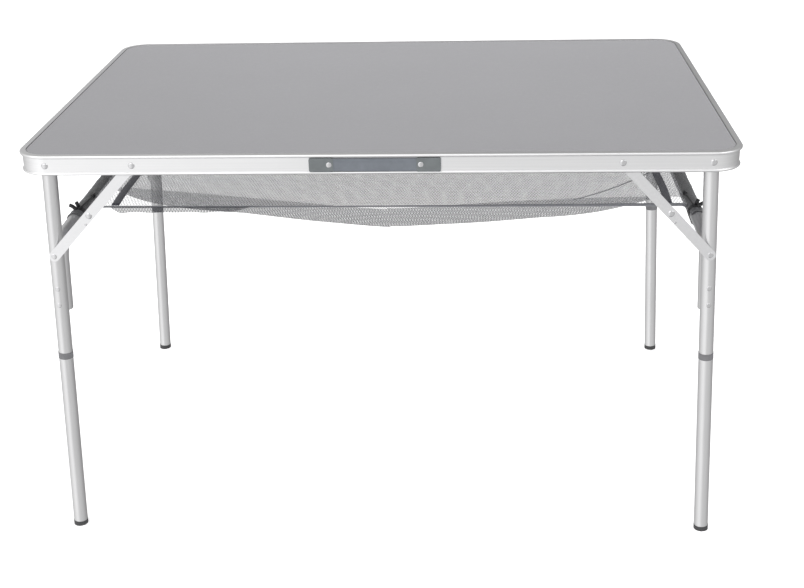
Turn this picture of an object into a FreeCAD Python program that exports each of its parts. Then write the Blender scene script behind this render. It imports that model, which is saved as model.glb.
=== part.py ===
"""Folding camping table: a framed board on two folding leg frames, with a storage net.

Millimetres, +Z up, +X along the table, -Y the long side with the carrying handle.  The origin is on
the floor, under the middle of the top.  Every driving size is a cell of the sheet "Sizes".
"""
import FreeCAD, Part
import math
import os
import re
import Sketcher

SIZES = {
    # top: board in an aluminium edge rail
    "TopLength": 1200, "TopWidth": 800, "TableHeight": 730, "CornerRadius": 52,
    "LipOut": 4, "LipIn": 6.5, "LipRound": 2.8, "RailHeight": 34.3, "RailWall": 1.4,
    "BeadOut": 2.4, "LedgeIn": 12, "LedgeThick": 1.2,
    "BoardDrop": 0.7, "BoardThick": 3, "BoardGap": 1.2,
    "BattenX": 95, "BattenWidth": 40, "BattenThick": 12, "BattenLength": 700,
    "PlateLength": 90, "PlateHeight": 18, "PlateThick": 1.5,
    # handle on the front rail
    "HandleLength": 216, "HandleHeight": 23, "CapLength": 40, "CapDepth": 3.2, "CapRound": 3,
    "StrapHeight": 21.4, "StrapThick": 1.6, "StrapOff": 0.9, "StrapLength": 168, "HandleRivetX": 75,
    "HandleDrop": 0.8,
    # leg frames
    "PivotX": 547, "PivotDrop": 18, "LegSplay": 2.54, "LegY": 374.1, "LegRadius": 12.5, "TubeWall": 1.2,
    "LegAbove": 6, "UpperLeg": 351, "CollarHeight": 12, "CollarRadius": 13, "PlugLength": 60,
    "PlugGap": 0.1, "PlugWall": 2, "LowerPlug": 30, "FootHeight": 9, "FootRadius": 12.9, "FootPlug": 22,
    "CrossDrop": 148.5, "CrossBend": 36, "ArmDrop": 278, "ArmGap": 0.2,
    "CrossRivetHigh": 226.5, "CrossRivetLow": 257.5,
    # braces: two links between the rail and the leg
    "BraceX": 402, "BraceDrop": 164.5, "UpperLink": 121.78, "LowerLink": 102.27,
    "LinkWidth": 18, "LinkThick": 1.8, "UpperLinkY": 390.3, "LowerLinkY": 387.5, "DetentX": 17.5, "DetentY": 5.5,
    "DetentRadius": 1.6,
    # pins and rivets
    "PinRadius": 3, "BracePinRadius": 2.5, "PinGap": 0.05, "HeadRadius": 5.5, "HeadHeight": 1.3,
    "FlatHead": 0.8, "ThinHead": 0.3, "LegRivetHead": 0.6, "RivetRim": 1.5, "HoleRoom": 0.5, "LowPinGrip": 6,
    "RivetPlay": 0.2, "BushRadius": 6, "BushGap": 0.35,
    # storage net between the cross tubes
    "NetWidth": 444, "NetSag": 115, "NetEdge": 4, "NetKneeX": 430, "NetKneeDrop": 72, "NetThick": 0.8,
    "SleeveThick": 1, "SleeveGap": 0.2, "SleeveRoom": 2,
    "TapeWidth": 12, "TapeThick": 2, "SideTapeX": 492, "SideTapeWidth": 16, "HookLength": 16, "HookThick": 1.2,
}
SIDES = {"left": -1, "right": 1}
ENDS = {"front": -1, "rear": 1}
SKETCH_START, SKETCH_END, SKETCH_CENTRE, ORIGIN = 1, 2, 3, -1
HALF = "half"

doc = FreeCAD.newDocument("FoldingTable")
sheet = doc.addObject("Spreadsheet::Sheet", "Sizes")
for row, (alias, number) in enumerate(SIZES.items(), 1):
    sheet.set(f"A{row}", alias)
    sheet.set(f"B{row}", str(number))
    sheet.setAlias(f"B{row}", alias)
doc.recompute()

WORD = re.compile(r"\b(" + "|".join(sorted(SIZES, key=len, reverse=True)) + r")\b")
made = {}


def formula(text):
    """An expression on the sheet's cells, from a formula in plain alias names."""
    return WORD.sub(r"Sizes.\1", str(text))


def value(text):
    """The number that a formula gives now; its angles are in degrees."""
    number = sheet.evalExpression(formula(text))
    return float(getattr(number, "Value", number))


def bind(item, **sizes):
    """Bind properties of an object to formulas."""
    for name, text in sizes.items():
        item.setExpression(name, formula(text))


def place(item, at=(0, 0, 0), axis=(0, 0, 1), angle=0):
    """Bind a Placement: turned by angle about axis, then moved to at."""
    item.Placement = FreeCAD.Placement(FreeCAD.Vector(), FreeCAD.Rotation(FreeCAD.Vector(*axis), 0.001))
    item.setExpression("Placement.Rotation.Angle", formula(angle))
    for letter, text in zip("xyz", at):
        item.setExpression("Placement.Base." + letter, formula(text))
    return item


def box(name, size, low):
    """A block from its size and its lowest corner."""
    item = doc.addObject("Part::Box", name)
    bind(item, Length=size[0], Width=size[1], Height=size[2])
    return place(item, low)


def rod(name, radius, length, at, along="Z"):
    """A cylinder that starts at a point and runs towards +X, +Y or +Z."""
    item = doc.addObject("Part::Cylinder", name)
    bind(item, Radius=radius, Height=length)
    axis, angle = {"X": ((0, 1, 0), 90), "Y": ((1, 0, 0), -90), "Z": ((0, 0, 1), 0)}[along]
    return place(item, at, axis, angle)


def cut(name, base, *tools):
    """The base with every tool taken out of it."""
    tool = tools[0] if len(tools) == 1 else doc.addObject("Part::MultiFuse", name + "_tools")
    if len(tools) > 1:
        tool.Shapes = list(tools)
    item = doc.addObject("Part::Cut", name)
    item.Base = base
    item.Tool = tool
    return item


def fuse(name, *pieces):
    """One solid from pieces that touch."""
    item = doc.addObject("Part::MultiFuse", name)
    item.Shapes = list(pieces)
    item.Refine = True
    return item


def group(name, pieces):
    """Separate solids that share a node."""
    item = doc.addObject("Part::Compound", name)
    item.Links = list(pieces)
    return item


def node(name, item):
    """Name an object as a finished sub-part."""
    item.Label = name
    made[name] = item
    return item


def tube(name, radius, wall, length, at, along="Z"):
    """A round tube."""
    outside = rod(name + "_outside", radius, length, at, along)
    inside = rod(name + "_inside", f"{radius} - {wall}", length, at, along)
    return cut(name, outside, inside)


def rivet(name, at, towards, shank_radius, shank_length, head_radius="HeadRadius", head_height="HeadHeight"):
    """A dome-headed rivet: its head stands off the point at, and its shank runs in the direction towards (Y)."""
    ball = f"(({head_radius})^2 + ({head_height})^2) / (2 * ({head_height}))"
    dome = doc.addObject("Part::Sphere", name + "_dome")
    bind(dome, Radius=ball, Angle1=f"asin((({ball}) - ({head_height})) / ({ball}))", Angle2="90")
    place(dome, (0, 0, f"{head_height} - {ball}"))
    shank = rod(name + "_shank", shank_radius, shank_length, (0, 0, f"-({shank_length})"))
    item = fuse(name, dome, shank)
    return place(item, at, (1, 0, 0), 90 if towards > 0 else -90)


def new_sketch(body, name, plane):
    """A sketch on one of a body's own origin planes."""
    sketch = body.newObject("Sketcher::SketchObject", name)
    role = next(item for item in body.Origin.OriginFeatures if item.Role == plane)
    sketch.AttachmentSupport = (role, [""])
    sketch.MapMode = "FlatFace"
    return sketch


def bind_constraint(sketch, label, text, *what):
    """Add a named constraint with a bound value."""
    index = sketch.addConstraint(Sketcher.Constraint(*what, value(text)))
    sketch.renameConstraint(index, label)
    sketch.setExpression("Constraints." + label, formula(text))


def fix_point(sketch, edge, end, point, label):
    """Fix a sketch point at two formulas from the sketch's origin."""
    for letter, text in zip("XY", point):
        bind_constraint(sketch, label + letter, text, "Distance" + letter, ORIGIN, SKETCH_START, edge, end)


def outline(sketch, points, closed=True):
    """Draw a line through points; a third entry rounds the way to the next point with that radius.

    A positive radius bends to the left and a negative one to the right.  HALF is a half circle to the
    left on an upright chord."""
    steps = list(zip(points, points[1:] + points[:1])) if closed else list(zip(points, points[1:]))
    for count, (first, last) in enumerate(steps):
        start = FreeCAD.Vector(value(first[0]), value(first[1]), 0)
        stop = FreeCAD.Vector(value(last[0]), value(last[1]), 0)
        ends = (SKETCH_START, SKETCH_END)
        if len(first) == 2:
            edge = sketch.addGeometry(Part.LineSegment(start, stop), False)
        else:
            half = (stop - start) * 0.5
            radius = half.Length if first[2] == HALF else value(first[2])
            side = FreeCAD.Vector(-half.y, half.x, 0).normalize() * math.copysign(1, radius)
            rise = math.sqrt(max(radius ** 2 - half.Length ** 2, 0))
            middle = start + half - side * (abs(radius) - rise)
            edge = sketch.addGeometry(Part.Arc(start, middle, stop), False)
            if first[2] == HALF:
                bind_constraint(sketch, f"Centre{count}", first[0], "DistanceX", ORIGIN, SKETCH_START, edge,
                                SKETCH_CENTRE)
            else:
                bind_constraint(sketch, f"Round{count}", f"abs({first[2]})", "Radius", edge)
            if radius < 0:
                ends = (SKETCH_END, SKETCH_START)
        fix_point(sketch, edge, ends[0], first, f"From{count}")
        fix_point(sketch, edge, ends[1], last, f"To{count}")
    return sketch


def circle(sketch, point, radius, label):
    """Draw a circle with a bound centre and radius."""
    centre = FreeCAD.Vector(value(point[0]), value(point[1]), 0)
    edge = sketch.addGeometry(Part.Circle(centre, FreeCAD.Vector(0, 0, 1), value(radius)), False)
    bind_constraint(sketch, label + "Radius", radius, "Radius", edge)
    fix_point(sketch, edge, SKETCH_CENTRE, point, label)


def pad(name, plane, points, thickness, holes=()):
    """A PartDesign body: an outline padded by a thickness."""
    body = doc.addObject("PartDesign::Body", name)
    sketch = outline(new_sketch(body, name + "_sketch", plane), points)
    for count, (point, radius) in enumerate(holes):
        circle(sketch, point, radius, f"Hole{count}")
    feature = body.newObject("PartDesign::Pad", name + "_pad")
    feature.Profile = sketch
    bind(feature, Length=thickness)
    return body


def round_box(x_half, y_half, radius):
    """The outline of a rectangle with rounded corners, centred on the sketch's origin, anticlockwise."""
    return [(f"{x_half} - {radius}", f"-({y_half})", radius), (x_half, f"{radius} - {y_half}"),
            (x_half, f"{y_half} - {radius}", radius), (f"{x_half} - {radius}", y_half),
            (f"{radius} - {x_half}", y_half, radius), (f"-({x_half})", f"{y_half} - {radius}"),
            (f"-({x_half})", f"{radius} - {y_half}", radius), (f"{radius} - {x_half}", f"-({y_half})")]


# ---------------------------------------------------------------- the top

RAIL_Y = "(TopWidth / 2 - LipOut)"
RAIL_X = "(TopLength / 2 - LipOut)"
INNER_RAIL_Y = "(TopWidth / 2 - LipOut - RailWall)"
PIVOT_Z = "(TableHeight - PivotDrop)"
HANDLE_Z = "(TableHeight - RailHeight / 2 - HandleDrop)"
BOARD_BOTTOM = "(TableHeight - BoardDrop - BoardThick)"


def rail_profile():
    """The edge rail's section at the rear rail: Y across, Z up."""
    ledge_top = BOARD_BOTTOM
    ledge_bottom = f"({BOARD_BOTTOM} - LedgeThick)"
    bottom = "(TableHeight - RailHeight)"
    lip_bottom = "(TableHeight - 2 * LipRound)"
    return [(f"{RAIL_Y} - LipIn", "TableHeight"), (f"{RAIL_Y} - LipIn", ledge_top),
            (f"{RAIL_Y} - LedgeIn", ledge_top), (f"{RAIL_Y} - LedgeIn", ledge_bottom),
            (INNER_RAIL_Y, ledge_bottom), (INNER_RAIL_Y, bottom),
            (RAIL_Y, bottom, HALF), (RAIL_Y, f"{bottom} + 2 * BeadOut"),
            (RAIL_Y, lip_bottom), (f"{RAIL_Y} + LipOut - LipRound", lip_bottom, HALF),
            (f"{RAIL_Y} + LipOut - LipRound", "TableHeight")]


def frame_half(name, side):
    """Half of the edge rail: one section swept round two corners, with its rivet holes."""
    body = doc.addObject("PartDesign::Body", name + "_stock")
    bend = "(CornerRadius - LipOut)"
    path = outline(new_sketch(body, name + "_path", "XY_Plane"), [
        ("0", RAIL_Y),
        (f"{side} * ({RAIL_X} - {bend})", RAIL_Y, f"{-side} * {bend}"),
        (f"{side} * {RAIL_X}", f"{RAIL_Y} - {bend}"),
        (f"{side} * {RAIL_X}", f"{bend} - {RAIL_Y}", f"{-side} * {bend}"),
        (f"{side} * ({RAIL_X} - {bend})", f"-{RAIL_Y}"),
        ("0", f"-{RAIL_Y}")], closed=False)
    profile = outline(new_sketch(body, name + "_section", "YZ_Plane"), rail_profile())
    doc.recompute()
    sweep = body.newObject("PartDesign::AdditivePipe", name + "_sweep")
    sweep.Profile = profile
    sweep.Spine = (path, [f"Edge{count + 1}" for count in range(5)])
    holes = [("handle", "front", "HandleRivetX", HANDLE_Z, "BracePinRadius")]
    for end in ENDS:
        holes.append(("leg", end, "PivotX", PIVOT_Z, "PinRadius"))
        holes.append(("brace", end, "BraceX", PIVOT_Z, "BracePinRadius"))
        holes.append(("plate", end, "PlateLength / 3", PIVOT_Z, "BracePinRadius"))
    tools = [rod(f"{name}_{end}_{what}_hole", radius, "3 * RailWall",
                 (f"{side} * {x}", f"{ENDS[end]} * ({RAIL_Y} - RailWall / 2) - 1.5 * RailWall", z), "Y")
             for what, end, x, z, radius in holes]
    return node(name, cut(name, body, *tools))


def board():
    """The laminated board that lies on the rail's ledge."""
    half = [f"({text} / 2 - LipOut - LipIn - BoardGap)" for text in ("TopLength", "TopWidth")]
    body = pad("board", "XY_Plane", round_box(half[0], half[1], "(CornerRadius - LipOut - LipIn - BoardGap)"),
               "BoardThick")
    node("board", place(body, (0, 0, BOARD_BOTTOM)))


def battens():
    """Two stiffeners glued under the board, short enough to leave the folded legs their room."""
    for word, side in SIDES.items():
        node(f"batten_{word}", box(f"batten_{word}", ("BattenWidth", "BattenLength", "BattenThick"),
                                   (f"{side} * BattenX - BattenWidth / 2", "-BattenLength / 2",
                                    f"{BOARD_BOTTOM} - BattenThick")))


def joint_plates():
    """The plates inside the long rails that join the two frame halves, and their rivets."""
    rivets = []
    for word, end in ENDS.items():
        low = f"{end} * ({INNER_RAIL_Y} - PlateThick / 2) - PlateThick / 2"
        plate = box(f"joint_plate_{word}_blank", ("PlateLength", "PlateThick", "PlateHeight"),
                    ("-PlateLength / 2", low, f"{PIVOT_Z} - PlateHeight / 2"))
        spots = [f"{side} * PlateLength / 3" for side in SIDES.values()]
        holes = [rod(f"joint_plate_{word}_hole_{count}", "BracePinRadius", "3 * PlateThick", (x, f"{low} - PlateThick",
                 PIVOT_Z), "Y") for count, x in enumerate(spots)]
        if end < 0:
            holes += [rod(f"joint_plate_{word}_{count}", "BracePinRadius", "3 * PlateThick",
                      (f"{side} * HandleRivetX", f"{low} - PlateThick", HANDLE_Z), "Y")
                      for count, side in enumerate(SIDES.values())]
        node(f"joint_plate_{word}", cut(f"joint_plate_{word}", plate, *holes))
        for count, x in enumerate(spots):
            rivets.append(rivet(f"joint_rivet_{word}_{count}", (x, f"{end} * {RAIL_Y}", PIVOT_Z), -end,
                                "BracePinRadius", "RailWall + PlateThick", "BracePinRadius + RivetRim", "FlatHead"))
    node("joint_rivets", group("joint_rivets", rivets))


def handle():
    """The carrying handle: a flat strap held by two end caps, riveted to the front rail."""
    strap_low = f"(-{RAIL_Y} - StrapOff - StrapThick)"
    strap = box("strap_blank", ("StrapLength", "StrapThick", "StrapHeight"),
                ("-StrapLength / 2", strap_low, f"{HANDLE_Z} - StrapHeight / 2"))
    rivets, strap_holes = [], []
    for word, side in SIDES.items():
        spot = (f"{side} * HandleRivetX", f"-{RAIL_Y} - CapDepth - ThinHead", HANDLE_Z)
        strap_holes.append(rod(f"strap_hole_{word}", "BracePinRadius", "2 * CapDepth", spot, "Y"))
        blank = pad(f"cap_{word}_blank", "XZ_Plane", round_box("(CapLength / 2)", "(HandleHeight / 2)", "CapRound"),
                    "CapDepth")
        place(blank, (f"{side} * (HandleLength - CapLength) / 2", f"-{RAIL_Y}", HANDLE_Z))
        slot = box(f"cap_{word}_slot", ("StrapLength", "StrapThick", "StrapHeight"),
                   ("-StrapLength / 2", strap_low, f"{HANDLE_Z} - StrapHeight / 2"))
        bore = rod(f"cap_{word}_bore", "BracePinRadius", "2 * CapDepth", spot, "Y")
        node(f"handle_cap_{word}", cut(f"handle_cap_{word}", blank, slot, bore))
        rivets.append(rivet(f"handle_rivet_{word}", (spot[0], f"-{RAIL_Y} - CapDepth", HANDLE_Z), 1,
                            "BracePinRadius", "CapDepth + RailWall", "BracePinRadius + RivetRim", "ThinHead"))
    node("handle_strap", cut("handle_strap", strap, *strap_holes))
    node("handle_rivets", group("handle_rivets", rivets))


def top_pins():
    """The pivot pins of the legs and braces, fixed in the rail, with the bushes that space them off it."""
    leg_pins, leg_bushes, brace_pins, brace_bushes = [], [], [], []
    link_out = "(UpperLinkY + LinkThick)"
    for side in SIDES.values():
        for end in ENDS.values():
            tag = f"{'left' if side < 0 else 'right'}_{'front' if end < 0 else 'rear'}"
            leg_spot = (f"{side} * PivotX", f"{end} * {RAIL_Y}", PIVOT_Z)
            reach = f"({RAIL_Y} - LegY + LegRadius)"
            shank = rivet(f"leg_pin_{tag}_outer", leg_spot, -end, "PinRadius", f"{reach} + PinGap + HeadHeight")
            inner_low = f"{end} * ({RAIL_Y} - {reach} - PinGap - HeadHeight / 2) - HeadHeight / 2"
            inner = rod(f"leg_pin_{tag}_inner", "HeadRadius", "HeadHeight", (leg_spot[0], inner_low, PIVOT_Z), "Y")
            leg_pins.append(fuse(f"leg_pin_{tag}", shank, inner))
            gap = f"({INNER_RAIL_Y} - BushGap - LegY - LegRadius - PinGap)"
            low = f"{end} * ({INNER_RAIL_Y} - BushGap - {gap} / 2) - {gap} / 2"
            leg_bushes.append(ring(f"leg_bush_{tag}", "BushRadius", "PinRadius", gap, (leg_spot[0], low, PIVOT_Z)))
            brace_spot = (f"{side} * BraceX", f"{end} * {RAIL_Y}", PIVOT_Z)
            brace_pins.append(rivet(f"brace_pin_{tag}", brace_spot, -end, "BracePinRadius", f"{RAIL_Y} - UpperLinkY"))
            gap = f"({INNER_RAIL_Y} - {link_out} - PinGap)"
            low = f"{end} * ({INNER_RAIL_Y} - {gap} / 2) - {gap} / 2"
            brace_bushes.append(ring(f"brace_bush_{tag}", "BushRadius", "BracePinRadius", gap,
                                     (brace_spot[0], low, PIVOT_Z)))
    for name, pieces in (("leg_pivot_pins", leg_pins), ("leg_pivot_bushes", leg_bushes),
                         ("brace_top_pins", brace_pins), ("brace_top_washers", brace_bushes)):
        node(name, group(name, pieces))


def ring(name, radius, hole, length, at):
    """A washer or bush along Y."""
    return cut(name, rod(name + "_body", radius, length, at, "Y"), rod(name + "_bore", hole, length, at, "Y"))


# ---------------------------------------------------------------- a leg frame, in its own upright axes
# Its origin is the pivot's axis on the table's middle plane, the legs hang down -Z, and place_frame
# leans the finished piece outwards.

ARM_Y = "(LegY - 2 * LegRadius - ArmGap)"


def place_frame(item, side):
    """Put a piece of a leg frame on its pivots, leaning outwards by the splay."""
    return place(item, (f"{side} * PivotX", 0, PIVOT_Z), (0, 1, 0), f"-({side}) * LegSplay")


def upper_leg(word, end_word):
    """An upper leg tube, with its pivot, brace and cross tube holes."""
    name, end, side = f"leg_{end_word}_{word}", ENDS[end_word], SIDES[word]
    blank = tube(name + "_tube", "LegRadius", "TubeWall", "UpperLeg + LegAbove", (0, f"{end} * LegY", "-UpperLeg"))
    across = f"{end} * LegY - 2 * LegRadius"
    holes = [rod(name + "_pivot_hole", "PinRadius + PinGap", "4 * LegRadius", (0, across, 0), "Y"),
             rod(name + "_brace_hole", "BracePinRadius", "2 * LegRadius",
                 (0, f"{end} * (LegY + LegRadius) - LegRadius", "-BraceDrop"), "Y")]
    holes += [rod(f"{name}_{drop}_hole", "BracePinRadius", "4 * LegRadius", (0, across, f"-{drop}"), "Y")
              for drop in ("CrossRivetHigh", "CrossRivetLow")]
    node(name, place_frame(cut(name, blank, *holes), side))


def cross_tube(word):
    """The cross tube: a U bent down at both ends into arms that lie beside the legs."""
    name, side = f"cross_tube_{word}", SIDES[word]
    body = doc.addObject("PartDesign::Body", name + "_stock")
    bend = "CrossBend"
    path = outline(new_sketch(body, name + "_path", "YZ_Plane"), [
        (f"-{ARM_Y}", "-ArmDrop"),
        (f"-{ARM_Y}", f"-CrossDrop - {bend}", f"-{bend}"),
        (f"{bend} - {ARM_Y}", "-CrossDrop"),
        (f"{ARM_Y} - {bend}", "-CrossDrop", f"-{bend}"),
        (ARM_Y, f"-CrossDrop - {bend}"),
        (ARM_Y, "-ArmDrop")], closed=False)
    section = new_sketch(body, name + "_section", "XY_Plane")
    section.AttachmentOffset = FreeCAD.Placement(FreeCAD.Vector(0, 0, -value("ArmDrop")), FreeCAD.Rotation())
    section.setExpression("AttachmentOffset.Base.z", formula("-ArmDrop"))
    circle(section, ("0", f"-{ARM_Y}"), "LegRadius", "Outer")
    circle(section, ("0", f"-{ARM_Y}"), "LegRadius - TubeWall", "Inner")
    doc.recompute()
    sweep = body.newObject("PartDesign::AdditivePipe", name + "_sweep")
    sweep.Profile = section
    sweep.Spine = (path, [f"Edge{count + 1}" for count in range(5)])
    holes = [rod(f"{name}_{end_word}_{drop}_hole", "BracePinRadius", "4 * LegRadius",
                 (0, f"{end} * {ARM_Y} - 2 * LegRadius", f"-{drop}"), "Y")
             for end_word, end in ENDS.items() for drop in ("CrossRivetHigh", "CrossRivetLow")]
    node(name, place_frame(cut(name, body, *holes), side))


def frame_rivets(word):
    """The rivets that hold the cross tube to the legs, and the braces' lower pins."""
    side, cross, brace = SIDES[word], [], []
    for end_word, end in ENDS.items():
        length = "(4 * LegRadius + ArmGap)"
        for drop in ("CrossRivetHigh", "CrossRivetLow"):
            cross.append(rivet(f"cross_rivet_{word}_{end_word}_{drop}", (0, f"{end} * (LegY + LegRadius)", f"-{drop}"),
                               -end, "BracePinRadius", length, "BracePinRadius + RivetRim", "LegRivetHead"))
        brace.append(rivet(f"brace_low_{word}_{end_word}", (0, f"{end} * (LowerLinkY + LinkThick + PinGap)",
                           "-BraceDrop"), -end, "BracePinRadius", "LinkThick + LowPinGrip",
                           "BracePinRadius + RivetRim", "ThinHead"))
    node(f"cross_rivets_{word}", place_frame(group(f"cross_rivets_{word}", cross), side))
    node(f"brace_low_pins_{word}", place_frame(group(f"brace_low_pins_{word}", brace), side))


def extension(word, end_word):
    """A pull-off lower leg: its tube, the collar that plugs into the upper leg, and its foot."""
    side, y, tag = SIDES[word], f"{ENDS[end_word]} * LegY", f"{end_word}_{word}"
    tube_top = "(UpperLeg + CollarHeight)"
    ground = f"({PIVOT_Z} / cos(LegSplay))"
    foot_top = f"({ground} - FootHeight)"
    node(f"lower_leg_{tag}", place_frame(tube(f"lower_leg_{tag}", "LegRadius", "TubeWall", f"{foot_top} - {tube_top}",
                                              (0, y, f"-{foot_top}")), side))
    plug = "(LegRadius - TubeWall - PlugGap)"
    long_plug = rod(f"collar_{tag}_plug", plug, f"PlugLength + CollarHeight + LowerPlug",
                    (0, y, f"-{tube_top} - LowerPlug"))
    band = rod(f"collar_{tag}_band", "CollarRadius", "CollarHeight - 2 * PlugGap", (0, y, f"PlugGap - {tube_top}"))
    bore = rod(f"collar_{tag}_bore", f"{plug} - PlugWall", "2 * PlugLength + CollarHeight",
               (0, y, f"-{tube_top} - PlugLength"))
    node(f"collar_{tag}", place_frame(cut(f"collar_{tag}", fuse(f"collar_{tag}_blank", long_plug, band), bore), side))
    cap = rod(f"foot_{tag}_cap", "FootRadius", "2 * FootHeight", (0, y, f"-{ground} - FootHeight"))
    peg = rod(f"foot_{tag}_peg", f"{plug}", "FootPlug + FootHeight", (0, y, f"-{ground}"))
    blank = place_frame(fuse(f"foot_{tag}_blank", cap, peg), side)
    floor = box(f"foot_{tag}_floor", ("8 * FootRadius", "8 * FootRadius", "4 * FootHeight"),
                (f"{side} * (PivotX + {PIVOT_Z} * tan(LegSplay)) - 4 * FootRadius", f"{y} - 4 * FootRadius",
                 "-4 * FootHeight"))
    node(f"foot_{tag}", cut(f"foot_{tag}", blank, floor))


# ---------------------------------------------------------------- braces

def link(name, length, hole_at_far_end, detent=0):
    """A flat bar with round ends, along +X from its pivot, thickness towards -Y."""
    half = "LinkWidth / 2"
    points = [("0", f"-({half})"), (length, f"-({half})", HALF), (length, half), ("0", half, HALF)]
    holes = [(("0", "0"), "BracePinRadius + PinGap")]
    if hole_at_far_end:
        holes.append(((length, "0"), hole_at_far_end))
    if detent:
        holes.append(((f"{length} - DetentX", f"{detent} * DetentY"), "DetentRadius"))
    return pad(name, "XZ_Plane", points, "LinkThick", holes)


def brace(word, end_word):
    """Upper and lower link of one brace, in line at rest, and the rivet at their middle pivot."""
    side, end, tag = SIDES[word], ENDS[end_word], f"{end_word}_{word}"
    foot_x = "(PivotX + BraceDrop * sin(LegSplay) - BraceX)"
    foot_z = "(BraceDrop * cos(LegSplay))"
    slope = f"atan({foot_z} / {foot_x})"
    angle = {-1: f"180 deg - {slope}", 1: slope}[side]
    upper_y = f"{end} * (UpperLinkY + LinkThick / 2) + LinkThick / 2"
    lower_y = f"{end} * (LowerLinkY + LinkThick / 2) + LinkThick / 2"
    upper = link(f"upper_link_{tag}", "UpperLink", "BracePinRadius")
    node(f"upper_link_{tag}", place(upper, (f"{side} * BraceX", upper_y, PIVOT_Z), (0, 1, 0), angle))
    lower = link(f"lower_link_{tag}", "LowerLink", "BracePinRadius + HoleRoom", side)
    low_at = (f"{side} * (BraceX + {foot_x})", lower_y, f"{PIVOT_Z} - {foot_z}")
    node(f"lower_link_{tag}", place(lower, low_at, (0, 1, 0), f"{angle} + 180 deg"))
    middle = [f"{side} * (BraceX + UpperLink * cos({slope}))", f"{end} * (UpperLinkY + LinkThick)",
              f"{PIVOT_Z} - UpperLink * sin({slope})"]
    node(f"brace_rivet_{tag}", rivet(f"brace_rivet_{tag}", middle, -end, "BracePinRadius",
                                     "UpperLinkY - LowerLinkY - RivetPlay",
                                     "HeadRadius", "HeadHeight - PinGap"))


# ---------------------------------------------------------------- storage net

NET_TOP = f"({PIVOT_Z} - CrossDrop * cos(LegSplay) + LegRadius)"
CROSS_X = "(PivotX + CrossDrop * sin(LegSplay))"
NET_X = f"({CROSS_X} - LegRadius - SleeveGap - SleeveThick - SleeveRoom)"


def net_bag(name, inset):
    """The solid that the net's two layers enclose: flat above, a slack trough below, shrunk by inset."""
    end_x = f"({NET_X} - {inset})"
    top, low = f"{NET_TOP} - {inset}", f"({NET_TOP} - NetEdge + {inset})"
    knee = f"({NET_TOP} - NetKneeDrop + {inset})"

    def belly(half, rise):
        return f"(({half}^2 + {rise}^2) / (2 * {rise}))"

    along = pad(f"{name}_along", "XZ_Plane", [
        (f"-{end_x}", low), ("-NetKneeX", knee, belly("NetKneeX", "(NetSag - NetKneeDrop)")),
        ("NetKneeX", knee), (end_x, low), (end_x, top), (f"-{end_x}", top)], "NetWidth")
    across = pad(f"{name}_across", "YZ_Plane", [
        ("-NetWidth / 2", low, belly("(NetWidth / 2)", "(NetSag - NetEdge)")), ("NetWidth / 2", low),
        ("NetWidth / 2", top), ("-NetWidth / 2", top)], f"2 * {end_x}")
    item = doc.addObject("Part::MultiCommon", name)
    item.Shapes = [place(along, (0, "NetWidth / 2", 0)), place(across, (f"-{end_x}", 0, 0))]
    return item


def net():
    """The storage net: two layers of mesh, joined at their ends, in a border of tapes."""
    node("net_mesh", cut("net_mesh", net_bag("net_outside", "0"), net_bag("net_inside", "NetThick")))
    for word, end in ENDS.items():
        node(f"net_tape_{word}", box(f"net_tape_{word}", (f"2 * {NET_X}", "TapeThick", "TapeWidth"),
                                     (f"-{NET_X}", f"{end} * (NetWidth / 2 + TapeThick / 2) - TapeThick / 2",
                                      f"{NET_TOP} - TapeWidth / 2")))
    for word, side in SIDES.items():
        node(f"net_tape_{word}", box(f"net_tape_{word}", ("SideTapeWidth", "NetWidth", "TapeThick"),
                                     (f"{side} * SideTapeX - SideTapeWidth / 2", "-NetWidth / 2", NET_TOP)))


def sleeve(word):
    """The net's sleeve round a cross tube, and the hooks that keep its ends in place."""
    side = SIDES[word]
    item = tube(f"net_sleeve_{word}", "(LegRadius + SleeveGap + SleeveThick)", "SleeveThick", "NetWidth",
                (0, "-NetWidth / 2", "-CrossDrop"), "Y")
    node(f"net_sleeve_{word}", place_frame(item, side))
    hooks = [tube(f"net_hook_{word}_{end_word}", "(LegRadius + SleeveGap + HookThick)", "HookThick", "HookLength",
                  (0, f"{end} * (NetWidth / 2 + HookLength / 2 + SleeveGap) - HookLength / 2", "-CrossDrop"), "Y")
             for end_word, end in ENDS.items()]
    node(f"net_hooks_{word}", place_frame(group(f"net_hooks_{word}", hooks), side))


def check_braces():
    """The links must close their triangle standing, and lie in line when the leg is folded flat."""
    lean = math.radians(value("LegSplay"))
    drop = value("BraceDrop")
    span = math.hypot(value("PivotX - BraceX") + drop * math.sin(lean), drop * math.cos(lean))
    folded = value("BraceDrop - PivotX + BraceX")
    assert abs(value("UpperLink + LowerLink") - span) < 0.05, span
    assert abs(value("UpperLink - LowerLink") - folded) < 0.05, folded


def build():
    """Make every sub-part."""
    check_braces()
    for word, side in SIDES.items():
        frame_half(f"frame_half_{word}", side)
    board()
    battens()
    joint_plates()
    handle()
    top_pins()
    for word in SIDES:
        for end_word in ENDS:
            upper_leg(word, end_word)
            extension(word, end_word)
            brace(word, end_word)
        cross_tube(word)
        frame_rivets(word)
        sleeve(word)
    net()


def write():
    """Check every object and shape, then write one file per node."""
    doc.recompute()
    bad = [item.Name for item in doc.Objects if {"Invalid", "Error"} & set(item.State)]
    assert not bad, f"failed objects: {bad}"
    os.makedirs("parts", exist_ok=True)
    for name, item in sorted(made.items()):
        shape = item.Shape
        assert not shape.isNull() and shape.isValid() and shape.Volume > 0, name
        shape.exportStep(f"parts/{name}.step")
        print(f"{name}: {len(shape.Solids)} solid(s), {shape.Volume / 1000:.2f} cm3")
    print(len(made), "nodes")


build()
write()
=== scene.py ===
"""Folding camping table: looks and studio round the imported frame.  Metres, +Z up, -Y is the handle side."""
import math

import bmesh
import bpy
import numpy as np
from mathutils import Matrix, Vector


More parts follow.
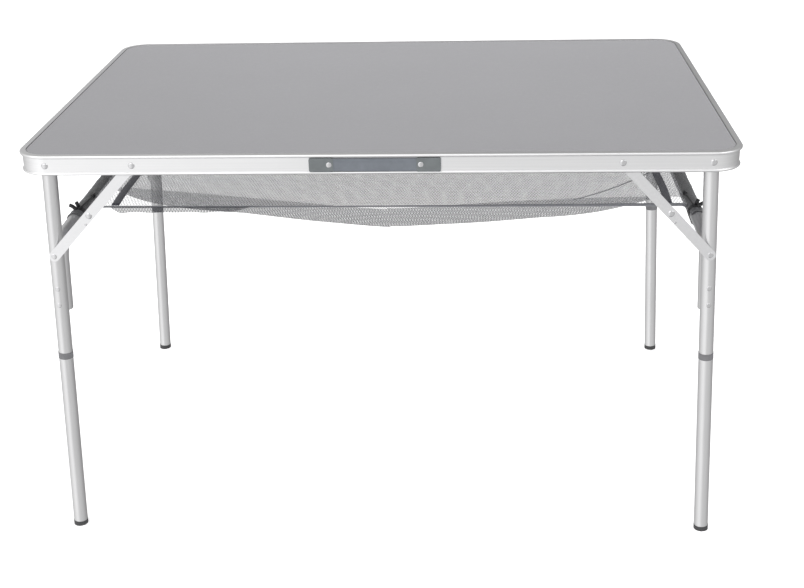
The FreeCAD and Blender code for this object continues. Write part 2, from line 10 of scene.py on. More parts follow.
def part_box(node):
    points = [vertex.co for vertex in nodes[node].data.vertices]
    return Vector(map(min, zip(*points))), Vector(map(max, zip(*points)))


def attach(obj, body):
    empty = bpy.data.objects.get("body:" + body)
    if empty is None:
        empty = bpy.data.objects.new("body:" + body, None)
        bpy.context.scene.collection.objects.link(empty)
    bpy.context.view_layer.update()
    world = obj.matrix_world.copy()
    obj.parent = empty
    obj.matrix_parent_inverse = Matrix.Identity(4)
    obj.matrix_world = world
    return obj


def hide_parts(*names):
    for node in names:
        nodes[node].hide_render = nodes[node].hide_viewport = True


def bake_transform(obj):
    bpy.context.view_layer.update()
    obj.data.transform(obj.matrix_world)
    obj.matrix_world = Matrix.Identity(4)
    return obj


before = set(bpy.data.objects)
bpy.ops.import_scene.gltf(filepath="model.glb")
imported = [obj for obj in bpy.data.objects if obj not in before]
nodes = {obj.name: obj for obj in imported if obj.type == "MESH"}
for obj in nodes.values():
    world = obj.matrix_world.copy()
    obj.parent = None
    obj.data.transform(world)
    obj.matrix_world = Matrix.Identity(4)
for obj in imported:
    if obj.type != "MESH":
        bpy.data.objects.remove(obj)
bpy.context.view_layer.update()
scene = bpy.context.scene

MM = 0.001
FULL_TURN = 2 * math.pi
SIDES = {"left": -1, "right": 1}
ENDS = {"front": -1, "rear": 1}


# ---------------------------------------------------------------- camera, floor and light

def make_camera():
    """The camera of the reference view: a little right of the middle, looking down at the front side."""
    at = (0.1566, -2.4297, 1.3840)
    yaw, pitch, roll = 0.0576, -0.4174, -0.0240
    forward = Vector((-math.sin(yaw) * math.cos(pitch), math.cos(yaw) * math.cos(pitch), math.sin(pitch)))
    level = Vector((math.cos(yaw), math.sin(yaw), 0))
    above = level.cross(forward)
    right = level * math.cos(roll) + above * math.sin(roll)
    up = above * math.cos(roll) - level * math.sin(roll)
    data = bpy.data.cameras.new("camera")
    data.sensor_width = 36
    data.lens = 58.69
    camera = bpy.data.objects.new("camera", data)
    turn = Matrix((right, up, -forward)).transposed().to_4x4()
    camera.matrix_world = Matrix.Translation(at) @ turn
    scene.collection.objects.link(camera)
    scene.camera = camera


def make_floor():
    """A plain pale floor; it doesn't show in the metal's reflections, which see the studio instead."""
    half = 30
    corners = [(-half, -half, 0), (half, -half, 0), (half, half, 0), (-half, half, 0)]
    mesh = bpy.data.meshes.new("floor")
    mesh.from_pydata(corners, [], [(0, 1, 2, 3)])
    floor = bpy.data.objects.new("floor", mesh)
    scene.collection.objects.link(floor)
    material, shader = new_material("floor_paper")
    shader.inputs["Base Color"].default_value = (0.93, 0.93, 0.93, 1)
    shader.inputs["Roughness"].default_value = 0.9
    shader.inputs["Emission Color"].default_value = (1, 1, 1, 1)
    shader.inputs["Emission Strength"].default_value = 0.42
    mesh.materials.append(material)
    floor.visible_glossy = False


def make_world():
    """A white studio for metal to reflect: brighter in front and at the left, dark straight below."""
    world = bpy.data.worlds.new("studio")
    scene.world = world
    world.use_nodes = True
    tree = world.node_tree
    tree.nodes.clear()
    out = tree.nodes.new("ShaderNodeOutputWorld")
    back = tree.nodes.new("ShaderNodeBackground")
    x, y, z = axes_of(world, "Generated")
    depth = remap(world, y, -0.75, 0.65, 1.08, 0.50)
    sideways = remap(world, x, -0.40, 0.02, 1.46, 0.91)
    below = remap(world, z, -1.0, -0.86, 0.05, 1.0)
    level = math_node(world, "MULTIPLY", depth, sideways)
    link(world, math_node(world, "MULTIPLY", level, below), back.inputs["Strength"])
    link(world, back.outputs[0], out.inputs[0])


def make_lamp(name, at, target, size, power, shine=True):
    """A soft square lamp aimed at a point; without shine it lights surfaces but doesn't show in them."""
    data = bpy.data.lights.new(name, "AREA")
    data.size = size
    data.energy = power
    lamp = bpy.data.objects.new(name, data)
    lamp.location = at
    lamp.rotation_mode = "QUATERNION"
    lamp.rotation_quaternion = (Vector(target) - Vector(at)).to_track_quat("-Z", "Y")
    lamp.visible_glossy = shine
    scene.collection.objects.link(lamp)


# ---------------------------------------------------------------- shader nodes

def new_material(name):
    """A material with its Principled shader."""
    material = bpy.data.materials.new(name)
    material.use_nodes = True
    return material, material.node_tree.nodes["Principled BSDF"]


def link(owner, start, end):
    """Join two sockets of a material's or the world's nodes."""
    owner.node_tree.links.new(start, end)


def axes_of(owner, space):
    """X, Y and Z of the coordinates of a space, as three sockets."""
    tree = owner.node_tree
    place = tree.nodes.new("ShaderNodeTexCoord")
    split = tree.nodes.new("ShaderNodeSeparateXYZ")
    link(owner, place.outputs[space], split.inputs[0])
    return split.outputs[0], split.outputs[1], split.outputs[2]


def noise(material, scale, detail, roughness=0.55):
    """Noise of a size given by one scale, or by a scale along each axis."""
    tree = material.node_tree
    place = tree.nodes.new("ShaderNodeTexCoord")
    stretch = tree.nodes.new("ShaderNodeMapping")
    stretch.inputs["Scale"].default_value = scale if isinstance(scale, tuple) else (scale,) * 3
    link(material, place.outputs["Object"], stretch.inputs["Vector"])
    node = tree.nodes.new("ShaderNodeTexNoise")
    node.inputs["Scale"].default_value = 1
    node.inputs["Detail"].default_value = detail
    node.inputs["Roughness"].default_value = roughness
    link(material, stretch.outputs[0], node.inputs["Vector"])
    return node.outputs["Fac"]


def remap(owner, value, low, high, to_low, to_high):
    """A value stretched from one span to another, and held at its ends."""
    node = owner.node_tree.nodes.new("ShaderNodeMapRange")
    for name, number in (("From Min", low), ("From Max", high), ("To Min", to_low), ("To Max", to_high)):
        node.inputs[name].default_value = number
    link(owner, value, node.inputs["Value"])
    return node.outputs[0]


def vary(material, value, to_low, to_high):
    """A noise, most of which lies between 0.3 and 0.7, stretched to another span."""
    return remap(material, value, 0.3, 0.7, to_low, to_high)


def math_node(owner, operation, first, second=None, third=None):
    """A Math node on sockets or plain numbers."""
    node = owner.node_tree.nodes.new("ShaderNodeMath")
    node.operation = operation
    for socket, value in zip(node.inputs, (first, second, third)):
        if isinstance(value, (int, float)):
            socket.default_value = value
        elif value is not None:
            link(owner, value, socket)
    return node.outputs[0]


def mix_colours(material, share, first, second):
    """A blend of two colours by a share."""
    node = material.node_tree.nodes.new("ShaderNodeMix")
    node.data_type = "RGBA"
    link(material, share, node.inputs["Factor"])
    for socket, colour in ((node.inputs[6], first), (node.inputs[7], second)):
        if isinstance(colour, tuple):
            socket.default_value = (*colour, 1)
        else:
            link(material, colour, socket)
    return node.outputs[2]


def bump(material, shader, height, strength, distance):
    """Drive the shader's normal from a height."""
    node = material.node_tree.nodes.new("ShaderNodeBump")
    node.inputs["Strength"].default_value = strength
    node.inputs["Distance"].default_value = distance
    link(material, height, node.inputs["Height"])
    link(material, node.outputs[0], shader.inputs["Normal"])


# ---------------------------------------------------------------- materials

def tinted(colour, factor, lift=0.0):
    """A colour made darker or paler."""
    return tuple(part * factor + lift for part in colour)


def metal(name, colour, rough, grain_scale, grain):
    """Satin metal with drawing lines along grain_scale's small axes, and faint handling marks."""
    material, shader = new_material(name)
    lines = noise(material, grain_scale, 2)
    marks = noise(material, 9, 4)
    tone = mix_colours(material, vary(material, lines, 0, 1), tinted(colour, 1 - 2.2 * grain), colour)
    tone = mix_colours(material, remap(material, marks, 0.35, 0.75, 0, 1), tone, tinted(colour, 0.93))
    link(material, tone, shader.inputs["Base Color"])
    spread = math_node(material, "ADD", vary(material, lines, rough - 0.04, rough + 0.04),
                       vary(material, marks, -0.03, 0.03))
    link(material, spread, shader.inputs["Roughness"])
    shader.inputs["Metallic"].default_value = 1
    bump(material, shader, lines, 0.12, 0.1 * MM)
    return material


def plastic(name, colour, rough):
    """Moulded plastic with a fine spark-eroded grain and slight scuffing."""
    material, shader = new_material(name)
    grain = noise(material, 1400, 2)
    scuffs = noise(material, 60, 4)
    share = remap(material, scuffs, 0.35, 0.75, 0, 1)
    tone = mix_colours(material, share, colour, tinted(colour, 1.18, 0.006))
    link(material, tone, shader.inputs["Base Color"])
    link(material, vary(material, scuffs, rough - 0.05, rough + 0.06), shader.inputs["Roughness"])
    shader.inputs["Specular IOR Level"].default_value = 0.4
    bump(material, shader, grain, 0.25, 0.1 * MM)
    return material


def laminate():
    """Grey melamine: fine light and dark flecks under a satin surface."""
    material, shader = new_material("grey_laminate")
    dark, light = (0.240, 0.238, 0.249), (0.282, 0.280, 0.292)
    spot, haze = (0.306, 0.304, 0.316), (0.286, 0.284, 0.297)
    flecks = noise(material, 900, 2)
    mottle = noise(material, (120, 170, 120), 4)
    clouds = noise(material, (3, 4, 3), 3)
    tone = mix_colours(material, remap(material, flecks, 0.32, 0.68, 0, 1), dark, light)
    tone = mix_colours(material, remap(material, mottle, 0.45, 0.8, 0, 0.5), tone, spot)
    tone = mix_colours(material, remap(material, clouds, 0.4, 0.8, 0, 0.35), tone, haze)
    link(material, tone, shader.inputs["Base Color"])
    link(material, vary(material, mottle, 0.40, 0.50), shader.inputs["Roughness"])
    shader.inputs["Specular IOR Level"].default_value = 0.6
    bump(material, shader, flecks, 0.10, 0.1 * MM)
    return material


def fibreboard():
    """Brown board with short fibres."""
    material, shader = new_material("batten_board")
    fibres = noise(material, (500, 60, 500), 5, 0.7)
    tone = mix_colours(material, vary(material, fibres, 0, 1), (0.26, 0.20, 0.145), (0.40, 0.32, 0.235))
    link(material, tone, shader.inputs["Base Color"])
    shader.inputs["Roughness"].default_value = 0.8
    bump(material, shader, fibres, 0.3, 0.2 * MM)
    return material


def woven(name, colour, pitch):
    """Woven cloth or tape: crossed ribs, with painted highlights on the thread crowns and painted shade
    between them.
    """
    material, shader = new_material(name)
    x, y, z = axes_of(material, "Object")
    turn = FULL_TURN / pitch
    warp = math_node(material, "SINE", math_node(material, "MULTIPLY", x, turn))
    depth = math_node(material, "ADD", y, z)
    weft = math_node(material, "SINE", math_node(material, "MULTIPLY", depth, turn))
    crown = remap(material, math_node(material, "MULTIPLY", warp, weft), -1, 1, 0, 1)
    # Painted highlight and shade: the colour is made much paler where the weave stands highest and stays
    # darker in its hollows.
    tone = mix_colours(material, crown, colour, tinted(colour, 1.9, 0.015))
    link(material, tone, shader.inputs["Base Color"])
    shader.inputs["Roughness"].default_value = 0.85
    shader.inputs["Sheen Weight"].default_value = 0.3
    bump(material, shader, crown, 0.5, 0.3 * MM)
    return material


def open_mesh(name, colour, pitch, veil, solid):
    """Knitted net: diagonal threads, whose alpha is solid, round long holes.

    A finer net, whose alpha is veil, fills the holes."""
    hole_length, thread_share = 2.6, 0.30
    material, shader = new_material(name)
    x, y, z = axes_of(material, "Object")
    turn = FULL_TURN / pitch
    along = math_node(material, "MULTIPLY", x, turn)
    depth = math_node(material, "MULTIPLY_ADD", z, 1.6, y)
    across = math_node(material, "MULTIPLY", depth, turn / hole_length)
    wobble = vary(material, noise(material, 40, 2), -0.15, 0.15)
    threads = []
    for way in ("ADD", "SUBTRACT"):
        slanted = math_node(material, way, along, across)
        threads.append(math_node(material, "SINE", math_node(material, "ADD", slanted, wobble)))
    ridge = math_node(material, "MAXIMUM", *threads)
    edge = math.cos(math.pi * thread_share)
    link(material, remap(material, ridge, edge - 0.25, edge + 0.15, veil, solid), shader.inputs["Alpha"])
    shade = vary(material, noise(material, 300, 3), 0, 1)
    link(material, mix_colours(material, shade, tinted(colour, 0.8), colour), shader.inputs["Base Color"])
    shader.inputs["Roughness"].default_value = 0.7
    bump(material, shader, ridge, 0.4, 0.4 * MM)
    return material


def dress(names, material):
    """Give CAD nodes a material."""
    for name in names:
        mesh = nodes[name].data
        mesh.materials.clear()
        mesh.materials.append(material)


def pair(kind):
    """The left and right CAD nodes of a kind."""
    return [f"{kind}_{side}" for side in SIDES]


def four(kind):
    """The CAD nodes of a kind, one at each corner of the table."""
    return [f"{kind}_{end}_{side}" for end in ENDS for side in SIDES]


# ---------------------------------------------------------------- mesh helpers

def add_mesh(name, points, faces, material):
    """A new smooth mesh object."""
    mesh = bpy.data.meshes.new(name)
    mesh.from_pydata([tuple(map(float, point)) for point in points], [], faces)
    mesh.validate()
    mesh.shade_smooth()
    mesh.materials.append(material)
    piece = bpy.data.objects.new(name, mesh)
    scene.collection.objects.link(piece)
    return piece


def quads(rows, ring, closed=True):
    """Faces between rows of ring points; closed also joins the end of each row to its start."""
    columns = ring if closed else ring - 1
    return [(i * ring + j, i * ring + (j + 1) % ring, (i + 1) * ring + (j + 1) % ring, (i + 1) * ring + j)
            for i in range(rows) for j in range(columns)]


def grid(name, rows, columns, point, material):
    """A sheet of quads whose corners are point(u, v), u and v from 0 to 1."""
    points = [point(i / rows, j / columns) for i in range(rows + 1) for j in range(columns + 1)]
    return add_mesh(name, points, quads(rows, columns + 1, closed=False), material)


def swept(name, centres, section, material, axes, widen=1.0):
    """A closed bar: section, a list of (a, b), carried along centres and widened evenly towards its end.

    Axes gives the directions of a and b."""
    centres = [Vector(centre) for centre in centres]
    last, ring = len(centres) - 1, len(section)
    points = []
    for i, centre in enumerate(centres):
        ahead = (centres[min(i + 1, last)] - centres[max(i - 1, 0)]).normalized()
        across = Vector(axes[0])
        across = (across - ahead * across.dot(ahead)).normalized()
        up = across.cross(ahead).normalized()
        if up.dot(Vector(axes[1])) < 0:
            up = -up
        wide = 1 + (widen - 1) * i / last
        points += [centre + across * a * wide + up * b for a, b in section]
    faces = quads(last, ring)
    faces += [tuple(range(ring))[::-1], tuple(range(last * ring, (last + 1) * ring))]
    piece = add_mesh(name, points, faces, material)
    fix_normals(piece)
    return piece


def fix_normals(piece):
    """Turn every face of a closed mesh outwards."""
    work = bmesh.new()
    work.from_mesh(piece.data)
    bmesh.ops.recalc_face_normals(work, faces=work.faces)
    work.to_mesh(piece.data)
    work.free()


def flat_section(width, thick, steps=4):
    """The rounded section of a tape or strap."""
    radius = thick / 2
    half = width / 2 - radius
    arc = [math.pi * k / steps - math.pi / 2 for k in range(steps + 1)]
    right = [(half + radius * math.cos(t), radius * math.sin(t)) for t in arc]
    left = [(-half - radius * math.cos(t), -radius * math.sin(t)) for t in arc]
    return right + left


def oval(wide, high, count=12):
    """The section of a rounded bar."""
    return [(wide * math.cos(a), high * math.sin(a)) for a in np.linspace(0, FULL_TURN, count, False)]


def join(name, pieces):
    """One object from several, all at the origin with one material."""
    points, faces = [], []
    for piece in pieces:
        start = len(points)
        points += [tuple(vertex.co) for vertex in piece.data.vertices]
        faces += [tuple(start + corner for corner in face.vertices) for face in piece.data.polygons]
    material = pieces[0].data.materials[0]
    for piece in pieces:
        mesh = piece.data
        bpy.data.objects.remove(piece)
        bpy.data.meshes.remove(mesh)
    return add_mesh(name, points, faces, material)


# ---------------------------------------------------------------- sizes of the net and its sleeves

# From the frame.
SLEEVE = {side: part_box(f"net_sleeve_{side}") for side in SIDES}
NET_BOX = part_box("net_mesh")
CROSS_Z = sum(corner[2] for corner in SLEEVE["right"]) / 2
CROSS_X = sum(corner[0] for corner in SLEEVE["right"]) / 2
SLEEVE_OUTER = (SLEEVE["right"][1][2] - SLEEVE["right"][0][2]) / 2
NET_TOP = NET_BOX[1][2] - 1.6 * MM
NET_REAR = NET_BOX[1][1] - 2 * MM

# The front hem's line, where the net meets a sleeve and dips on to it, and the straps' middles.
NET_FRONT = -0.212
NET_END = 0.5413
NET_DROP = 3.4 * MM
SEAM_REACH = 10 * MM
STRAP_X = {"left": -0.490, "right": 0.507}

# The lower layer: its depth at the middle, and its front edge's place, slant and sag.
BELLY = 91 * MM
EDGE_Y = -0.136
EDGE_SLANT = -0.037
EDGE_SAG = 39 * MM

# The strip under the front hem.
SKIRT_START = -0.497
SKIRT_LENGTH = 0.262
SKIRT_DROP = 10.5 * MM

# The dart's start and heading, its bend towards the rear, and its length in headings.
DART_START = (0.34, -0.192)
DART_HEADING = (0.13, 0.085)
DART_BEND = 0.035
DART_LENGTH = 1.25

# The sleeves' cloth: how far it laps over itself in radians, and how much rucks, hems and the lap add.
SLEEVE_INNER = SLEEVE_OUTER - 0.55 * MM
SLEEVE_LAP = 0.35
RUCK_HEIGHT = 0.34 * MM
HEM_HEIGHT = 0.35 * MM
LAP_HEIGHT = 0.6 * MM

# The end clips: their length along the tube, inner radius, and wrap round it in degrees.
CLIP_LENGTH = 17 * MM
CLIP_INNER = 12.75 * MM
CLIP_WRAP = 300

# Each prong's distance from the clip, root radius, height and lean; then the arm.  Angles are in degrees.
PRONGS = ((2 * MM, 13.6 * MM, 12 * MM, 24), (17 * MM, 14.2 * MM, 9 * MM, 6))
PRONG_ANGLE = 96
ARM_RADIUS = 15.6 * MM
ARM_LENGTH = 82 * MM
ARM_ANGLE = 76
ARM_TWIST = -24


# ---------------------------------------------------------------- storage net

def net_level(x):
    """Height of the taut upper layer, which dips on to the sleeves at its ends."""
    reach = min(max((abs(x) - (NET_END - SEAM_REACH)) / SEAM_REACH, 0), 1)
    return NET_TOP - NET_DROP * reach * reach * (3 - 2 * reach)


def upper_point(side):
    """The upper layer: flat, with the slightest waves."""
    def point(u, v):
        x = side * NET_END * u
        y = NET_FRONT + (NET_REAR - NET_FRONT) * v
        waves = 0.5 * MM * math.sin(19 * x + 7 * y) * math.sin(math.pi * v)
        return x, y, net_level(x) + waves
    return point


def lower_point(side):
    """The slack lower layer: a hammock between the sleeves, its front edge hanging in an open curve.

    The left end falls away steeply at the sleeve, the right one more gently."""
    if side < 0:
        trough, flatness, steepness, edge_power = 77 * MM, 10, 0.5, 1.2
    else:
        trough, flatness, steepness, edge_power = 86.5 * MM, 6, 1, 1.7

    def point(u, v):
        x = side * NET_END * u
        front = EDGE_Y + EDGE_SLANT * x / NET_END
        y = front + (NET_REAR - front) * v
        slack = max(0, 1 - math.hypot(u, 0.09))
        edge = EDGE_SAG * slack ** edge_power * (1 - v)
        middle = max(0, 1 - math.hypot(u, 0.2)) / 0.8
        depth = trough * (1 - u ** flatness) ** steepness + (BELLY - trough) * middle ** 2.2
        belly = depth * (1 - abs(2 * v - 1) ** (2.9 if v < 0.5 else 2.2))
        fold = 1.6 * MM * math.sin(30 * v + 14 * u) * math.sin(math.pi * v) * math.sin(math.pi * u)
        return x, y, net_level(x) - 1.2 * MM * (1 - v) - edge - belly + fold
    return point


def skirt_point(u, v):
    """The strip of mesh left hanging under the front hem, towards the left end."""
    x = SKIRT_START + SKIRT_LENGTH * u
    hang = SKIRT_DROP * min(1, 14 * u + 0.25, 5 * (1 - u)) + 0.7 * MM * math.sin(31 * u)
    y = NET_FRONT - 1.4 * MM - 1.2 * MM * v * math.sin(23 * u)
    return x, y, NET_TOP - 2.0 * MM - hang * v


def dart_line(count=24):
    """The sewn dart that gathers the upper layer towards its right end."""
    line = []
    for k in range(count + 1):
        t = DART_LENGTH * k / count
        x = DART_START[0] + DART_HEADING[0] * t
        y = DART_START[1] + DART_HEADING[1] * t + DART_BEND * t * t
        line.append((x, y, net_level(x) + 0.9 * MM))
    return line


def hem_line(side, y, count=60):
    """Points along a hem from the table's middle, where it sags a little, to a sleeve."""
    line = []
    for k in range(count + 1):
        t = k / count
        sag = 1.0 * MM * math.sin(math.pi * (0.5 + 0.5 * t))
        line.append((side * NET_END * t, y, net_level(NET_END * t) - 1.5 * MM - sag))
    return line


def follow_fold(piece):
    """Net pieces hang from the leg frame's cross tube and lie under the top further in; this only bakes a
    piece's placement into its mesh, without attaching it to the leg frame.
    """
    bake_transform(piece)


def make_hem(word, end_word, y, material):
    """The net's front or rear hem, wider towards the sleeve."""
    hem = swept(f"net_hem_{end_word}_{word}", hem_line(SIDES[word], y), flat_section(3.2 * MM, 1.5 * MM),
                material, ((0, 0.45, 1), (0, 1, 0)), 1.9 if word == "right" else 1.1)
    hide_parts(f"net_tape_{end_word}")
    return hem


def make_strap(word, material, steps=40):
    """The webbing strap across the net near a sleeve, with a slight bow."""
    line = []
    for k in range(steps + 1):
        t = k / steps
        bow = SIDES[word] * 1.5 * MM * math.sin(9 * t)
        line.append((STRAP_X[word] + bow, NET_FRONT + (NET_REAR - NET_FRONT) * t, NET_TOP + 1.5 * MM))
    strap = swept(f"net_strap_{word}", line, flat_section(15 * MM, 1.5 * MM), material,
                  axes=((1, 0, 0), (0, 0, 1)))
    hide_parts(f"net_tape_{word}")
    return strap


def make_skirt(material):
    """The left side's strip under the front hem."""
    skirt = grid("net_skirt_left", 60, 6, skirt_point, material)
    return skirt


def make_dart(material):
    """The right side's dart."""
    dart = swept("net_dart_right", dart_line(), flat_section(2.4 * MM, 1.0 * MM), material,
                 axes=((0, 1, 0), (0, 0, 1)))
    return dart


def make_net(mesh_upper_painted_light, mesh_lower, mesh_flap, binding, webbing):
    """Both layers of mesh and everything sewn to them, split at the table's middle."""
    for word, side in SIDES.items():
        sewn = [make_hem(word, "front", NET_FRONT, binding), make_hem(word, "rear", NET_REAR, binding)]
        sewn.append(make_strap(word, webbing))
        sewn.append(make_skirt(mesh_flap) if word == "left" else make_dart(binding))
        upper = grid(f"net_upper_{word}", 90, 44, upper_point(side), mesh_upper_painted_light)
        lower = grid(f"net_lower_{word}", 90, 60, lower_point(side), mesh_lower)
        for piece in (upper, lower):
            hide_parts("net_mesh")
        for piece in (*sewn, upper, lower):
            follow_fold(piece)


# ---------------------------------------------------------------- sleeves and their end clips

def sleeve_point(word):
    """A sleeve's cloth: once round the cross tube and a lap further, rucked, and thicker at its hems."""
    side = SIDES[word]
    low, high = SLEEVE[word]
    centre = (low[0] + high[0]) / 2

    def point(u, v):
        wound = (FULL_TURN + SLEEVE_LAP) * v
        lapped = max(0, wound - FULL_TURN) / SLEEVE_LAP
        turn = math.pi / 2 + side * (wound - 2.0)
        from_end = min(u, 1 - u)
        rucks = math.sin(3 * turn + 34 * u) * math.sin(61 * u + 2 * turn) + 0.6 * math.sin(5 * turn - 47 * u)
        radius = SLEEVE_INNER + RUCK_HEIGHT * rucks * math.sin(math.pi / 2 * min(1, 8 * from_end))
        radius += HEM_HEIGHT if from_end < 0.025 else 0
        radius += LAP_HEIGHT * min(1, 4 * lapped)
        return (centre + radius * math.cos(turn), low[1] + (high[1] - low[1]) * u,
                CROSS_Z + radius * math.sin(turn))
    return point


def make_sleeves(material):
    """The net's sleeves: cloth tubes drawn round the cross tubes."""
    for word in SIDES:
        cloth = grid(f"net_sleeve_cloth_{word}", 150, 54, sleeve_point(word), material)
        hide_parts(f"net_sleeve_{word}")
        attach(cloth, f"leg_frame_{word}")


def round_tube(side, radius, degrees, y):
    """A point round the cross tube; 0 degrees is towards the table's middle and 90 is up."""
    turn = math.radians(degrees)
    return side * (CROSS_X - radius * math.cos(turn)), y, CROSS_Z + radius * math.sin(turn)


def make_clip(word, end_word, start, material, steps=44, rows=10):
    """An open collar round the cross tube, its gap towards the table's middle, flared at its free end."""
    side, end = SIDES[word], ENDS[end_word]
    points = []
    for outside in (False, True):
        for i in range(rows + 1):
            t = i / rows
            flare = 1.1 * MM * max(0, t - 0.8) * 5
            thick = (1.9 - 0.7 * t) * MM
            radius = CLIP_INNER + (thick + flare if outside else 0.6 * flare)
            y = start + end * CLIP_LENGTH * t
            points += [round_tube(side, radius, 180 + CLIP_WRAP * (0.5 - j / steps), y)
                       for j in range(steps + 1)]
    ring = steps + 1
    count = (rows + 1) * ring
    inside = quads(rows, ring, closed=False)
    rims = [(i * ring + j, (i + 1) * ring + j) for i in range(rows) for j in (0, steps)]
    rims += [(i * ring + j, i * ring + j + 1) for j in range(steps) for i in (0, rows)]
    faces = inside + [tuple(count + corner for corner in face[::-1]) for face in inside]
    faces += [(low, high, high + count, low + count) for low, high in rims]
    piece = add_mesh(f"net_clip_{end_word}_{word}", points, faces, material)
    fix_normals(piece)
    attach(piece, f"leg_frame_{word}")


def make_claw(word, end_word, start, material):
    """Two prongs standing on a clip, and a thin arm along the sleeve with a knob at its end."""
    side, end = SIDES[word], ENDS[end_word]
    across_up = ((1, 0, 0), (0, 0, 1))
    parts = []
    for inward, root, height, lean in PRONGS:
        steps = 11
        y = start - end * inward
        line = [round_tube(side, root + height * k / steps, PRONG_ANGLE + lean * k / steps, y)
                for k in range(steps + 1)]
        parts.append(swept("prong", line, oval(4.2 * MM, 3.4 * MM), material, ((0, 1, 0), (1, 0, 0)), 0.75))
    steps = 14
    shares = [k / steps for k in range(steps + 1)]
    arm = [round_tube(side, ARM_RADIUS, ARM_ANGLE + ARM_TWIST * t, start - end * ARM_LENGTH * t)
           for t in shares]
    parts.append(swept("arm", arm, oval(1.7 * MM, 1.5 * MM), material, across_up))
    knob = [Vector(arm[-1]) + Vector((0, end * reach * MM, 0)) for reach in (5, 2.5, 0, -2.5, -5)]
    parts.append(swept("knob", knob, oval(4.0 * MM, 3.4 * MM), material, across_up, 0.8))
    claw = join(f"net_claw_{end_word}_{word}", parts)
    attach(claw, f"leg_frame_{word}")


def make_clips(grey, black):
    """A clip and its claw at each end of each sleeve, which keep the net from sliding."""
    for word in SIDES:
        for end_word, end in ENDS.items():
            start = end * (SLEEVE[word][1][1] + CLIP_LENGTH)
            make_clip(word, end_word, start, grey)
            make_claw(word, end_word, start, black)


# ---------------------------------------------------------------- rivet heads

def islands(name):
    """The lowest and highest corner of each loose part of a CAD node's mesh."""
    mesh = nodes[name].data
    places = np.array([vertex.co for vertex in mesh.vertices])
    keys = np.unique(np.round(places, 5), axis=0, return_inverse=True)[1].ravel()
    group = np.arange(keys.max() + 1)
    before = None
    while before is None or (group != before).any():
        before = group.copy()
        for face in mesh.polygons:
            corners = keys[list(face.vertices)]
            group[corners] = group[corners].min()
    label = group[keys]
    return [(places[label == k].min(0), places[label == k].max(0)) for k in np.unique(label)]


def dome(centre, outward, radius, height, skirt, rings=8, steps=28):
    """Points and faces of a peened rivet head standing on a face square to Y, its skirt let into the face."""
    profile = [(radius, -skirt), (radius, 0.10 * height), (0.95 * radius, 0.22 * height)]
    profile += [(0.93 * radius * math.cos(t), (0.24 + 0.76 * math.sin(t)) * height)
                for t in np.linspace(0.03, math.pi / 2 - 0.10, rings)]
    circle = np.linspace(0, FULL_TURN, steps, False)
    points = [(centre[0] + r * math.cos(a), centre[1] + outward * h, centre[2] + r * math.sin(a))
              for r, h in profile for a in circle]
    top = (len(profile) - 1) * steps
    faces = quads(len(profile) - 1, steps) + [tuple(range(steps)), tuple(range(top, top + steps))]
    return points, faces


def peened(name, body, spots, radius, height, material, skirt=0.1 * MM):
    """One piece of peened heads at spots, each (centre, outward)."""
    points, faces = [], []
    for centre, outward in spots:
        more, skins = dome(centre, outward, radius, height, skirt)
        faces += [tuple(len(points) + corner for corner in skin) for skin in skins]
        points += more
    piece = add_mesh(name, points, faces, material)
    fix_normals(piece)
    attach(piece, body)


def outer_ends(source, sink):
    """The middle of each rivet's outer end, sunk by the height of its CAD head."""
    spots = []
    for low, high in islands(source):
        outward = 1 if low[1] + high[1] > 0 else -1
        y = (high[1] if outward > 0 else low[1]) - outward * sink
        spots.append((((low[0] + high[0]) / 2, y, (low[2] + high[2]) / 2), outward))
    return spots


def make_heads(material):
    """Peened heads over the CAD rivets' plain ones; sinks, radii and heights in the first list are in mm."""
    for name, source, sink, radius, height in (
            ("leg_pin_heads", "leg_pivot_pins", 1.3, 5.6, 1.9),
            ("brace_pin_heads", "brace_top_pins", 1.3, 5.6, 1.9),
            ("handle_rivet_heads", "handle_rivets", 0.3, 4.5, 0.7)):
        peened(name, "top", outer_ends(source, sink * MM), radius * MM, height * MM, material)
    for word in SIDES:
        frame_body = f"leg_frame_{word}"
        cross_spots = outer_ends(f"cross_rivets_{word}", 0.6 * MM)
        peened(f"cross_rivet_heads_{word}", frame_body, cross_spots, 4.2 * MM, 0.85 * MM, material, 0.8 * MM)
        low_spots = outer_ends(f"brace_low_pins_{word}", 0.3 * MM)
        peened(f"brace_low_heads_{word}", frame_body, low_spots, 4.8 * MM, 0.85 * MM, material)
        for end_word in ENDS:
            make_brace_heads(word, end_word, low_spots, material)


def make_brace_heads(word, end_word, low_spots, material):
    """The head of a brace's middle rivet, and the pressed pip below it that snaps the brace straight."""
    end = ENDS[end_word]
    corner = f"{end_word}_{word}"
    spots = outer_ends(f"brace_rivet_{corner}", 1.25 * MM)
    peened(f"middle_rivet_head_{corner}", f"upper_brace_{corner}", spots, 5.6 * MM, 1.8 * MM, material)
    middle = Vector(spots[0][0])
    low = Vector(next(centre for centre, outward in low_spots if outward == end))
    along = Vector((low.x - middle.x, 0, low.z - middle.z)).normalized()
    inward = Vector((-SIDES[word] * abs(along.z), 0, -abs(along.x)))
    distance, offset = 17.5 * MM, 5.5 * MM
    pip = middle + along * distance + inward * offset
    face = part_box(f"lower_link_{corner}")[1 if end > 0 else 0][1]
    peened(f"brace_pip_{corner}", f"lower_brace_{corner}", [((pip.x, face, pip.z), end)], 2.3 * MM, 0.8 * MM,
           material, 0.9 * MM)


# ---------------------------------------------------------------- build the scene

make_camera()
make_floor()
make_world()
make_lamp("key", (-2.4, -3.6, 4.6), (0, 0, 0.6), 8.0, 135)
make_lamp("fill", (2.8, -1.6, 3.2), (0, 0, 0.5), 2.6, 32)
make_lamp("top", (0.2, 1.7, 2.5), (0.05, 0.4, 0.73), 2.2, 44, shine=False)

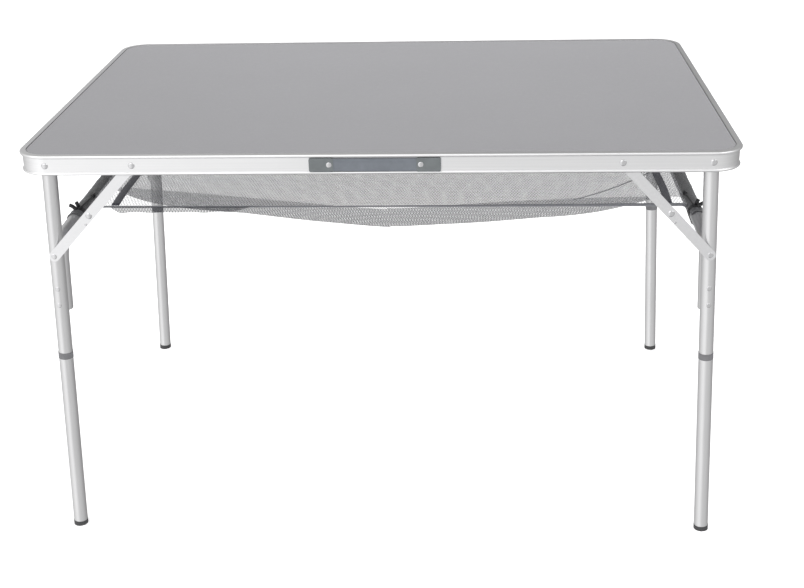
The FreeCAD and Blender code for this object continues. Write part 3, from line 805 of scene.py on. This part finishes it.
rail = metal("anodised_rail", (0.88, 0.88, 0.885), 0.36, (2, 2, 420), 0.035)
tube = metal("anodised_tube", (0.76, 0.76, 0.765), 0.38, (1500, 1500, 5), 0.04)
cross = metal("anodised_cross_tube", (0.76, 0.76, 0.765), 0.38, (1500, 5, 1500), 0.04)
brace = metal("plated_brace", (0.84, 0.84, 0.85), 0.34, (260, 260, 260), 0.03)
rivet = metal("rivet_metal", (0.70, 0.70, 0.71), 0.28, (300, 300, 300), 0.05)
collar = plastic("collar_plastic", (0.150, 0.150, 0.158), 0.42)
foot = plastic("foot_plastic", (0.045, 0.045, 0.047), 0.55)
cap = plastic("cap_plastic", (0.122, 0.134, 0.138), 0.48)
strap = plastic("strap_plastic", (0.128, 0.141, 0.160), 0.50)
black = plastic("black_plastic", (0.022, 0.022, 0.024), 0.38)
nylon = plastic("nylon_bush", (0.10, 0.10, 0.105), 0.45)

dress(["board"], laminate())
dress(pair("batten"), fibreboard())
dress(pair("frame_half"), rail)
dress(four("leg") + four("lower_leg"), tube)
dress(pair("cross_tube"), cross)
dress(four("upper_link") + four("lower_link"), brace)
dress([f"joint_plate_{end}" for end in ENDS], brace)
dress(four("brace_rivet") + pair("cross_rivets") + pair("brace_low_pins"), rivet)
dress(["joint_rivets", "handle_rivets", "leg_pivot_pins", "brace_top_pins"], rivet)
dress(["leg_pivot_bushes", "brace_top_washers"], nylon)
dress(four("collar"), collar)
dress(four("foot"), foot)
dress(pair("handle_cap"), cap)
dress(["handle_strap"], strap)
dress(pair("net_hooks"), black)

binding = woven("net_binding", (0.140, 0.143, 0.155), 1.1 * MM)
webbing = woven("net_webbing", (0.040, 0.042, 0.055), 1.6 * MM)
sleeve_cloth = woven("sleeve_cloth", (0.070, 0.071, 0.074), 0.8 * MM)
dark_thread = (0.060, 0.063, 0.074)
# Painted light: the upper layer's threads get a pale colour, far paler than the dark thread of the same net's
# lower layer and flap.
mesh_upper_painted_light = open_mesh("net_mesh_upper", (0.69, 0.695, 0.715), 5.6 * MM, 0.30, 0.66)
mesh_lower = open_mesh("net_mesh_lower", dark_thread, 5.3 * MM, 0.40, 0.64)
mesh_flap = open_mesh("net_mesh_flap", dark_thread, 5.3 * MM, 0.58, 0.80)
make_net(mesh_upper_painted_light, mesh_lower, mesh_flap, binding, webbing)
make_sleeves(sleeve_cloth)
make_clips(plastic("clip_plastic", (0.13, 0.132, 0.138), 0.42), black)
make_heads(metal("rivet_head", (0.66, 0.66, 0.67), 0.12, (300, 300, 300), 0.03))

scene.view_settings.view_transform = "Standard"
bpy.context.view_layer.update()
